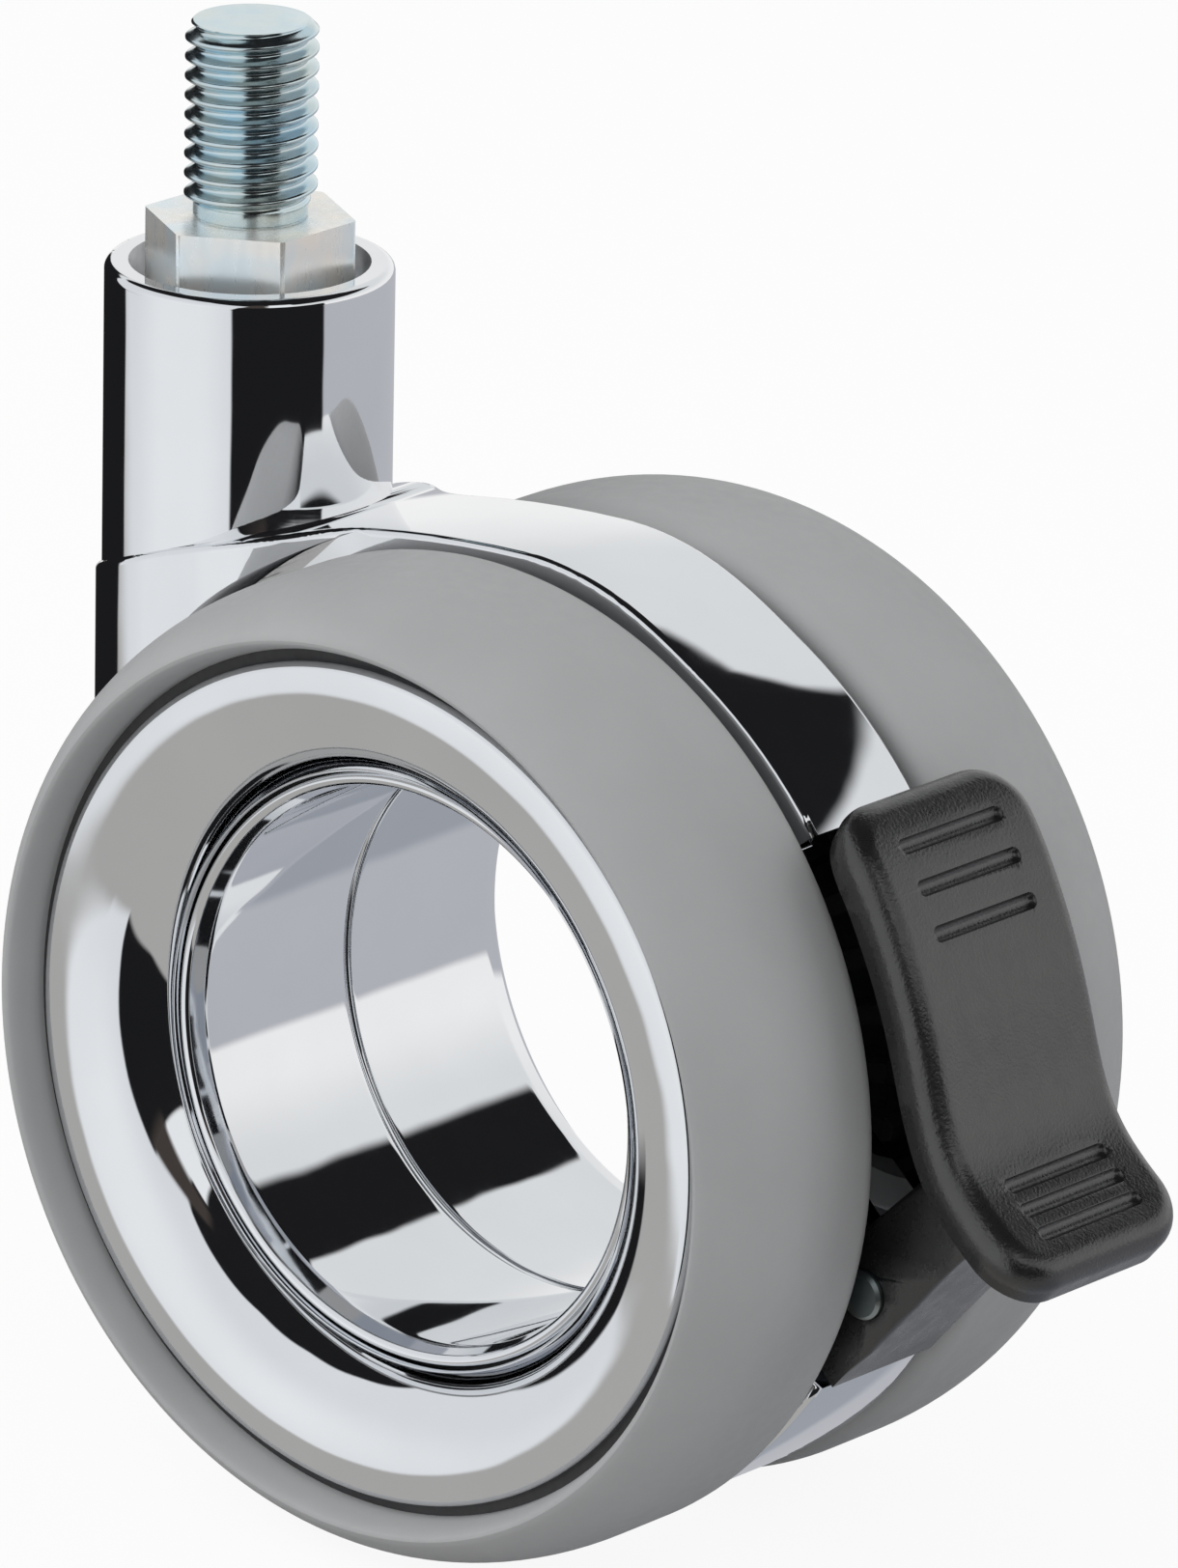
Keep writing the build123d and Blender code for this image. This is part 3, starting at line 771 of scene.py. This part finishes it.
class CASTOR_OT_stem(bpy.types.Operator):
    """Build the stem: a cut thread over a collar, the hexagon and the pintle"""

    bl_idname = "castor.stem"
    bl_label = "Stem"

    def execute(self, context):
        sizes = context.scene.castor_sizes
        thread = self.wind_thread(context, sizes)
        build = bmesh.new()
        build.from_mesh(thread)
        bpy.data.meshes.remove(thread)
        self.close_ends(build)
        self.add_hexagon(build)
        self.add_collar(build, sizes)
        mesh = bpy.data.meshes.new("threaded_stem")
        build.to_mesh(mesh)
        build.free()
        piece = finished(mesh, "threaded_stem", angle=32.0)
        settle_hexagon(mesh, stem_high.x)
        stand_for(piece, "stem", "zinc_steel", ("zinc_thread", "zinc_hexagon"), "stem")
        give_second_finish(mesh, lambda spot: spot.z < seat_skin)
        return {"FINISHED"}

    def wind_thread(self, context, sizes):
        """The thread as a plain mesh, from its node tree."""
        stand = bpy.data.objects.new("thread_stand", bpy.data.meshes.new("thread_stand"))
        context.scene.collection.objects.link(stand)
        modifier = stand.modifiers.new("Thread", "NODES")
        wanted = {
            "Crest Radius": stud_radius,
            "Depth": sizes.thread_depth,
            "Pitch": sizes.thread_pitch,
            "Foot": sizes.neck_height,
            "Top": stem_high.z,
            "End Chamfer": sizes.end_chamfer,
        }
        modifier.node_group = thread_tree(tuple(wanted), finish_of("zinc_thread"))
        for item in modifier.node_group.interface.items_tree:
            if item.in_out == "INPUT":
                modifier[item.identifier] = wanted[item.name]
        context.view_layer.update()
        graph = context.evaluated_depsgraph_get()
        thread = bpy.data.meshes.new_from_object(stand.evaluated_get(graph))
        bpy.data.objects.remove(stand)
        return thread

    def close_ends(self, build):
        """Closes both ends of the thread with flat faces."""
        bmesh.ops.remove_doubles(build, verts=build.verts, dist=weld)
        self.fill_openings(build)
        bmesh.ops.recalc_face_normals(build, faces=build.faces)

    def fill_openings(self, build):
        """Puts a flat face in each open rim."""
        rim = [edge for edge in build.edges if edge.is_boundary]
        bmesh.ops.holes_fill(build, edges=rim, sides=0)

    def add_hexagon(self, build):
        """Adds the solid's own hexagon, pintle and ring groove, cut off at the seat."""
        body = bmesh.new()
        body.from_mesh(frame["nodes"]["stem"].data)
        bmesh.ops.remove_doubles(body, verts=body.verts, dist=weld)
        geometry = body.verts[:] + body.edges[:] + body.faces[:]
        bmesh.ops.bisect_plane(
            body, geom=geometry, plane_co=(0, 0, seat_cut), plane_no=(0, 0, 1), clear_outer=True
        )
        self.fill_openings(body)
        part = bpy.data.meshes.new("hexagon_part")
        body.to_mesh(part)
        body.free()
        build.from_mesh(part)
        bpy.data.meshes.remove(part)

    def add_collar(self, build, sizes):
        """Adds the plain collar, which reaches a little way into the thread."""
        radius, height = sizes.neck_radius, sizes.neck_height + sizes.thread_pitch / 4
        collar = bmesh.ops.create_cone(
            build,
            cap_ends=True,
            segments=96,
            radius1=radius,
            radius2=radius,
            depth=height,
            matrix=Matrix.Translation((0, 0, height / 2)),
        )
        edges = {edge for vertex in collar["verts"] for edge in vertex.link_edges}
        rims = [edge for edge in edges if edge.calc_face_angle(0) > pi / 4]
        bmesh.ops.bevel(build, geom=rims, offset=0.15 * MM, segments=3, affect="EDGES")


def thread_tree(sizes, material):
    """A node tree that winds a rounded thread as a wave on a cylinder, with named inputs for its sizes."""
    turn_steps, rise_steps = 96, 180
    root_share, crest_share = 0.06, 0.46
    runout_turns = 0.4
    tree = bpy.data.node_groups.new("wound_thread", "GeometryNodeTree")
    tree.interface.new_socket("Geometry", in_out="OUTPUT", socket_type="NodeSocketGeometry")
    for name in sizes:
        tree.interface.new_socket(name, in_out="INPUT", socket_type="NodeSocketFloat")
    node, maths = partial(add_node, tree), partial(add_maths, tree)
    given = node("NodeGroupInput").outputs
    result = node("NodeGroupOutput")
    crest, foot, top, pitch = given["Crest Radius"], given["Foot"], given["Top"], given["Pitch"]

    # A unit sheet about the origin: its X is wound round the stud and its Y runs up it
    sheet = node(
        "GeometryNodeMeshGrid", Size_X=1.0, Size_Y=1.0, Vertices_X=turn_steps + 1, Vertices_Y=rise_steps + 1
    )
    split = node("ShaderNodeSeparateXYZ", Vector=node("GeometryNodeInputPosition").outputs[0])
    turn = maths("MULTIPLY", maths("ADD", split.outputs["X"], 0.5), 2 * pi)
    share = maths("ADD", split.outputs["Y"], 0.5)
    height = maths("ADD", foot, maths("MULTIPLY", share, maths("SUBTRACT", top, foot)))
    phase = maths("SUBTRACT", maths("DIVIDE", height, pitch), maths("DIVIDE", turn, 2 * pi))
    rounded = add_rise(tree, maths("PINGPONG", phase, 0.5), root_share, crest_share)
    thread_end = maths("MULTIPLY_ADD", pitch, runout_turns, foot)
    runout = node("ShaderNodeMapRange", Value=height, From_Min=foot, From_Max=thread_end)
    filled = maths("MULTIPLY", rounded, runout.outputs[0])
    cut = maths("MULTIPLY", given["Depth"], maths("SUBTRACT", 1.0, filled))
    below_end = maths("SUBTRACT", top, height)
    cone = maths("ADD", maths("SUBTRACT", crest, given["End Chamfer"]), below_end)
    radius = maths("MINIMUM", maths("SUBTRACT", crest, cut), cone)
    spot = node(
        "ShaderNodeCombineXYZ",
        X=maths("MULTIPLY", radius, maths("COSINE", turn)),
        Y=maths("MULTIPLY", radius, maths("SINE", turn)),
        Z=height,
    )
    wound = node("GeometryNodeSetPosition", Geometry=sheet.outputs["Mesh"], Position=spot.outputs[0])
    closed = node("GeometryNodeMergeByDistance", Geometry=wound.outputs[0], Distance=weld)
    real = node("GeometryNodeRealizeInstances", Geometry=closed.outputs[0])
    coated = node("GeometryNodeSetMaterial", Geometry=real.outputs[0], Material=material)
    tree.links.new(coated.outputs[0], result.inputs[0])
    return tree


class CASTOR_OT_treads(bpy.types.Operator):
    """Turn the soft treads"""

    bl_idname = "castor.treads"
    bl_label = "Treads"

    def execute(self, context):
        steps = context.scene.castor_sizes.turning_steps
        foot = [(7.2, 33.2)]
        inner_round = arc((9.2, 35.5), (2.0, 2.0), 180, 90, 8)
        shoulder = arc((14.6, 32.7), (10.0, 4.8), 90, 20, 22)
        lip = curve([(24.1, 34.05), (23.95, 33.72), (23.4, 33.4), (22.5, 33.12), (21.6, 32.9)], 5)
        groove = [(21.1, 32.85), (21.1, 33.2)]
        profile = foot + inner_round + shoulder + lip + groove
        for side, sign in sides.items():
            mesh = turned(side + "_soft_tread", profile, sign, steps)
            piece = finished(mesh, side + "_soft_tread")
            stand_for(piece, side + "_wheel", "tread", ("soft_tread",), side + "_tread")
        return {"FINISHED"}


class CASTOR_OT_face_rings(bpy.types.Operator):
    """Turn the rounded chrome face rings"""

    bl_idname = "castor.face_rings"
    bl_label = "Face Rings"

    def execute(self, context):
        sizes = context.scene.castor_sizes
        spots = (sizes.ring_crest, sizes.ring_edge, sizes.ring_mouth)
        crest, edge, mouth = (Vector(spot) / MM for spot in spots)
        rim_end, lip_end = (21.5, 32.05), (17.5, 22.74)
        outward = tangent_arc(crest, (0, 1), edge, 12)
        inward = tangent_arc(crest, (0, -1), mouth, 48)
        rim = tangent_arc(edge, self.way_on(outward), rim_end, 8)
        lip = tangent_arc(mouth, self.way_on(inward), lip_end, 6)
        back = [(16.85, 22.74), (21.1, 31.6), (21.1, 32.05)]
        profile = rim[:0:-1] + outward[::-1] + inward[1:] + lip[1:] + back
        for side, sign in sides.items():
            mesh = turned(side + "_rounded_ring", profile, sign, sizes.turning_steps)
            piece = finished(mesh, side + "_rounded_ring")
            stand_for(piece, side + "_wheel", "chrome", ("polished_chrome",), side + "_face_ring")
        return {"FINISHED"}

    def way_on(self, points):
        """Direction in which a line of points goes on."""
        return (Vector(points[-1]) - Vector(points[-2])).normalized()


class CASTOR_OT_axle_sleeves(bpy.types.Operator):
    """Turn the sleeves of the open hub"""

    bl_idname = "castor.axle_sleeves"
    bl_label = "Axle Sleeves"

    def execute(self, context):
        sizes = context.scene.castor_sizes
        bore, seam = sizes.bore_radius / MM, sizes.seam_round / MM
        seam_edge = arc((seam, bore + seam), (seam, seam), 180, 270, 8)
        tube = [(seam + 0.2, bore), (15.2, bore)]
        flare = tangent_arc((15.5, bore), (1, 0), (15.9, bore + 0.05), 5)
        cone = [(16.0, bore + 0.075), (17.1, bore + 0.355)]
        bead = curve([(17.2, bore + 0.385), (17.42, 21.95), (17.42, 22.3), (17.05, 22.6)], 6)
        flange = [(16.6, 22.6), (16.6, 25.4), (15.4, 25.4), (15.4, 23.4)]
        outside = [(6.5, 23.4), (6.5, 23.0), (0.0, 23.0)]
        profile = seam_edge + tube + flare + cone + bead + flange + outside
        for side, sign in sides.items():
            mesh = turned(side + "_hub_sleeve", profile, sign, sizes.turning_steps)
            piece = finished(mesh, side + "_hub_sleeve")
            stand_for(piece, "housing", "chrome", ("polished_chrome", "black_core_and_painted_shade"), side + "_axle_sleeve")
            # The black second finish on the flange is painted shade in the gap behind the ring
            give_second_finish(mesh, self.painted_shade_flange)
        return {"FINISHED"}

    def painted_shade_flange(self, spot):
        """True on the flange, whose black finish is painted shade for the dark gap behind the ring's inner edge.
        """
        flange_start, flange_radius = 15.0 * MM, 22.59 * MM
        from_axle = hypot(spot.x - wheel_centre.x, spot.z - wheel_centre.z)
        return from_axle > flange_radius and abs(spot.y) > flange_start


class CASTOR_OT_housing(bpy.types.Operator):
    """Smooth and plate the housing"""

    bl_idname = "castor.housing"
    bl_label = "Housing"

    def execute(self, context):
        mesh = merged_copy("housing", "plated_housing")
        piece = finished(mesh, "plated_housing", angle=28.0)
        HousingSkin(mesh, context.scene.castor_sizes).settle()
        stand_for(piece, "housing", "chrome", ("polished_chrome", "dull_socket"), "housing")
        give_second_finish(mesh, self.in_socket)
        return {"FINISHED"}

    def in_socket(self, spot):
        """True inside the socket's bores."""
        widest_bore, floor = 9.15 * MM, -29.0 * MM
        return hypot(spot.x, spot.y) < widest_bore and spot.z > floor


class CASTOR_OT_lever(bpy.types.Operator):
    """Smooth and grain the brake lever"""

    bl_idname = "castor.lever"
    bl_label = "Brake Lever"

    def execute(self, context):
        mesh = merged_copy("brake_lever", "moulded_lever")
        piece = finished(mesh, "moulded_lever", angle=40.0)
        even_normals(mesh)
        stand_for(piece, "lever", "lever_black", ("grained_lever",), "brake_lever")
        return {"FINISHED"}


class CASTOR_OT_return_leaf(bpy.types.Operator):
    """Copy the bowed leaf with a blank steel finish in place of its node"""

    bl_idname = "castor.return_leaf"
    bl_label = "Return Leaf"

    def execute(self, context):
        piece = finished(merged_copy("return_leaf", "bowed_leaf"), "bowed_leaf")
        coat(piece.data, "spring_blank")
        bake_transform(piece)
        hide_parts("return_leaf")
        return {"FINISHED"}


class CASTOR_OT_inner_works(bpy.types.Operator):
    """Give the inner pieces their finishes"""

    bl_idname = "castor.inner_works"
    bl_label = "Inner Works"

    def execute(self, context):
        finishes = {
            "retaining_ring": "spring_blank",
            "thrust_washer": "white_bearing",
            "stem_bush": "bronze_bush",
            # The pins' darker zinc is painted shade
            "lever_pin": "zinc_pin_painted_shade",
            "brake_slide": "zinc_pin_painted_shade",
            "locking_rod": "zinc_pin_painted_shade",
        }
        for side in sides:
            finishes[side + "_spacer_washer"] = "white_bearing"
            finishes[side + "_bearing_ring"] = "white_bearing"
            finishes[side + "_wheel_core"] = "black_core_and_painted_shade"
        for node, finish in finishes.items():
            coat(frame["nodes"][node].data, finish)
        return {"FINISHED"}


class CASTOR_OT_studio(bpy.types.Operator):
    """Set up the floor, the lights and the camera"""

    bl_idname = "castor.studio"
    bl_label = "Studio"
    paper_beige = (0.435, 0.425, 0.412)

    def execute(self, context):
        self.lay_floor()
        self.hang_lights()
        self.paint_world(context.scene)
        self.place_camera(context.scene)
        context.scene.view_settings.view_transform = "Standard"
        return {"FINISHED"}

    def lay_floor(self):
        """Lays pale paper that keeps the object's shadow and looks white to the camera."""
        ground, reach = cad_box[0][2], 3.0
        paper_grey, glow_share = 0.65, 0.92
        mesh = bpy.data.meshes.new("studio_floor")
        corners = [(x * reach, y * reach, ground) for x, y in ((-1, -1), (1, -1), (1, 1), (-1, 1))]
        mesh.from_pydata(corners, [], [(0, 1, 2, 3)])
        floor = bpy.data.objects.new("studio_floor", mesh)
        bpy.context.scene.collection.objects.link(floor)
        material = bpy.data.materials.new("white_floor")
        material.use_nodes = True
        tree = material.node_tree
        tree.nodes.clear()
        path = add_node(tree, "ShaderNodeLightPath")
        paper = add_node(tree, "ShaderNodeBsdfDiffuse", Color=(paper_grey, paper_grey, paper_grey, 1))
        glow = add_node(tree, "ShaderNodeEmission")
        share = add_maths(tree, "MULTIPLY", path.outputs["Is Camera Ray"], glow_share)
        mixed = mix_shaders(tree, share, paper.outputs[0], glow.outputs[0])
        add_node(tree, "ShaderNodeOutputMaterial", Surface=mixed)
        mesh.materials.append(material)
        floor.visible_glossy = False

    def hang_lights(self):
        """Hangs the softboxes, each with its place, width, height and watts, aimed at the wheels."""
        lights = (
            ("key_softbox", (-0.35, -0.75, 0.75), 0.7, 0.5, 3.0),
            ("rim_softbox", (0.9, 0.5, 0.7), 0.6, 0.6, 2.4),
            ("side_softbox", (-0.9, -0.4, 0.5), 0.8, 0.6, 4.0),
            ("fill_softbox", (0.75, -0.9, 0.7), 0.6, 0.5, 3.0),
        )
        for name, place, width, height, power in lights:
            lamp = bpy.data.lights.new(name, "AREA")
            lamp.shape = "RECTANGLE"
            lamp.size = width
            lamp.size_y = height
            lamp.energy = power
            light = bpy.data.objects.new(name, lamp)
            light.location = place
            aim = wheel_centre - Vector(place)
            light.rotation_euler = aim.to_track_quat("-Z", "Y").to_euler()
            light.visible_glossy = False
            bpy.context.scene.collection.objects.link(light)

    def paint_world(self, scene):
        """White all round for the camera, and a studio of walls and gaps in the mirror finishes."""
        world = bpy.data.worlds.new("studio")
        scene.world = world
        world.use_nodes = True
        tree = world.node_tree
        tree.nodes.clear()
        soft_level = 0.7
        path = add_node(tree, "ShaderNodeLightPath")
        mirrored = add_node(tree, "ShaderNodeBackground", Color=self.mirrored_studio(tree))
        seen = path.outputs["Is Camera Ray"]
        level = add_maths(tree, "MULTIPLY_ADD", seen, 1.0 - soft_level, soft_level)
        plain = add_node(tree, "ShaderNodeBackground", Color=(1, 1, 1, 1), Strength=level)
        mixed = mix_shaders(tree, path.outputs["Is Glossy Ray"], plain.outputs[0], mirrored.outputs[0])
        add_node(tree, "ShaderNodeOutputWorld", Surface=mixed)

    def mirrored_studio(self, tree):
        """Colour of the studio by direction: patches laid over each other in order."""
        maths = partial(add_maths, tree)
        direction = add_node(tree, "ShaderNodeTexCoord").outputs["Generated"]
        x, y, z = add_node(tree, "ShaderNodeSeparateXYZ", Vector=direction).outputs
        lon = maths("DEGREES", maths("ARCTAN2", x, maths("MULTIPLY", y, -1.0)))
        lat = maths("DEGREES", maths("ARCSINE", z))

        def inside(soft, corners):
            """1 inside a convex patch, by its corners in degrees, anticlockwise, with a soft border."""
            mask = 1.0
            for (lon0, lat0), (lon1, lat1) in zip(corners, corners[1:] + corners[:1]):
                run, climb = lon1 - lon0, lat1 - lat0
                length = hypot(run, climb)
                start = (climb * lon0 - run * lat0) / length
                depth = maths("MULTIPLY_ADD", lat, run / length, start)
                depth = maths("MULTIPLY_ADD", lon, -climb / length, depth)
                mask = maths("MULTIPLY", mask, add_rise(tree, depth, -soft, soft))
            return mask

        def lay(under, colour, mask):
            """Puts a colour over another where the mask is 1."""
            made = tree.nodes.new("ShaderNodeMix")
            made.data_type = "RGBA"
            factor_socket, under_socket, over_socket, result_socket = 0, 6, 7, 2
            feed(tree, made.inputs[factor_socket], mask)
            feed(tree, made.inputs[under_socket], under)
            feed(tree, made.inputs[over_socket], (*colour, 1.0))
            return made.outputs[result_socket]

        sky = (*self.paper_beige, 1.0)
        for colour, soft, corners in self.studio_patches().values():
            sky = lay(sky, colour, inside(soft, corners))
        return sky

    def studio_patches(self):
        """The studio's patches: colour, softness of the border and corners, by longitude and latitude."""
        beige, cream, black = self.paper_beige, (0.96, 0.955, 0.945), (0.012, 0.012, 0.013)
        white, bright, brown = (0.775, 0.79, 0.81), (0.90, 0.91, 0.92), (0.06, 0.05, 0.045)
        lavender, slate, pearl = (0.50, 0.505, 0.54), (0.36, 0.38, 0.42), (0.79, 0.80, 0.805)
        # Beyond every longitude and latitude
        around, pole = 300, 100

        def block(left, right, low, high):
            """Corners of an upright patch."""
            return ((left, low), (right, low), (right, high), (left, high))

        softbox = ((-97, -40), (23, -40), (28, -20), (40, 33), (0, 54), (-30, 57), (-60, 51), (-92, 35))
        left_paper = ((-140, -60), (0, -60), (0, -32), (-40, -18.5), (-70, -13), (-140, -13))
        right_paper = ((-10, -60), (40, -60), (40, -42), (0, -32), (-10, -29.5))
        left_gap = ((-128, -21), (-73, -21), (-71, -13), (-97, 28), (-128, 28))
        right_gap = ((23, -38), (60, -34), (103, -20), (103, 15), (34, 15))
        ceiling_edge = ((173, 38), (182, 48.6), (182, pole), (173, pole))
        return {
            "walls": (cream, 2.0, block(-around, around, -20, pole)),
            "upper walls": (pearl, 12.0, block(-around, around, 18, pole)),
            "ceiling": (black, 3.0, block(-around, around, 52, pole)),
            "low ceiling": (black, 1.5, block(-133, 175, 34, pole)),
            "ceiling edge": (black, 1.2, ceiling_edge),
            "ceiling edge past the back": (black, 1.2, tuple((lon - 360, lat) for lon, lat in ceiling_edge)),
            "ceiling tip": (black, 1.2, ((-181, 48.2), (-170, 50.4), (-170, pole), (-181, pole))),
            "right ground": (lavender, 1.5, block(98, around, -pole, -4)),
            "left ground": (lavender, 1.5, block(-around, -133, -pole, -4)),
            "near right ground": (slate, 1.5, block(98, around, -pole, -40)),
            "near left ground": (slate, 1.5, block(-around, -133, -pole, -40)),
            "softbox": (white, 1.2, softbox),
            "softbox glow": (bright, 18.0, block(-45, 20, -22, 20)),
            "left paper": (beige, 2.0, left_paper),
            "right paper": (beige, 2.0, right_paper),
            "left gap": (black, 1.5, left_gap),
            "right gap": (black, 1.2, right_gap),
            "light stand": (brown, 3.0, ((34, 12), (56, 12), (56, 45), (44, 45), (40, 33))),
            "side softbox": (bright, 1.2, ((57, 15), (80, 15), (79, 42), (59, 43))),
        }

    def place_camera(self, scene):
        """Puts the camera where the photo's was, by its angles, distance and aim."""
        studio = scene.castor_studio
        azimuth, elevation, roll = studio.azimuth, studio.elevation, studio.roll
        back = Vector((sin(azimuth) * cos(elevation), -cos(azimuth) * cos(elevation), sin(elevation)))
        level_right = Vector((cos(azimuth), sin(azimuth), 0))
        level_up = back.cross(level_right)
        right = level_right * cos(roll) + level_up * sin(roll)
        up = level_up * cos(roll) - level_right * sin(roll)
        forward = (right * studio.aim[0] + up * studio.aim[1] - back).normalized()
        right = forward.cross(up).normalized()
        up = right.cross(forward)
        data = bpy.data.cameras.new("photo_camera")
        data.sensor_width = 36.0
        data.lens = studio.lens
        data.clip_start = 0.01
        data.clip_end = 20.0
        camera = bpy.data.objects.new("photo_camera", data)
        turned_frame = Matrix((right, up, -forward)).transposed().to_4x4()
        camera.matrix_world = Matrix.Translation(wheel_centre + back * studio.distance) @ turned_frame
        scene.collection.objects.link(camera)
        scene.camera = camera


class CASTOR_PT_panel(bpy.types.Panel):
    """Lists the castor's pieces and sizes"""

    bl_idname = "CASTOR_PT_panel"
    bl_label = "Castor"
    bl_space_type = "VIEW_3D"
    bl_region_type = "UI"
    bl_category = "Castor"

    def draw(self, context):
        for operator in operators:
            self.layout.operator(operator.bl_idname)
        for group in groups:
            column = self.layout.column()
            settings = getattr(context.scene, group)
            for name in settings.bl_rna.properties.keys():
                if name not in ("rna_type", "name"):
                    column.prop(settings, name)


groups = {"castor_sizes": CastorSizes, "castor_colours": CastorColours, "castor_studio": CastorStudio}
operators = (
    CASTOR_OT_stem,
    CASTOR_OT_treads,
    CASTOR_OT_face_rings,
    CASTOR_OT_axle_sleeves,
    CASTOR_OT_housing,
    CASTOR_OT_lever,
    CASTOR_OT_return_leaf,
    CASTOR_OT_inner_works,
    CASTOR_OT_studio,
)


def register():
    for name, group in groups.items():
        bpy.utils.register_class(group)
        setattr(bpy.types.Scene, name, bpy.props.PointerProperty(type=group))
    for item in operators + (CASTOR_PT_panel,):
        bpy.utils.register_class(item)


def unregister():
    for item in reversed(operators + (CASTOR_PT_panel,)):
        bpy.utils.unregister_class(item)
    for name, group in groups.items():
        delattr(bpy.types.Scene, name)
        bpy.utils.unregister_class(group)


def main():
    register()
    bpy.ops.castor.stem()
    bpy.ops.castor.treads()
    bpy.ops.castor.face_rings()
    bpy.ops.castor.axle_sleeves()
    bpy.ops.castor.housing()
    bpy.ops.castor.lever()
    bpy.ops.castor.return_leaf()
    bpy.ops.castor.inner_works()
    bpy.ops.castor.studio()


if __name__ == "__main__":
    main()
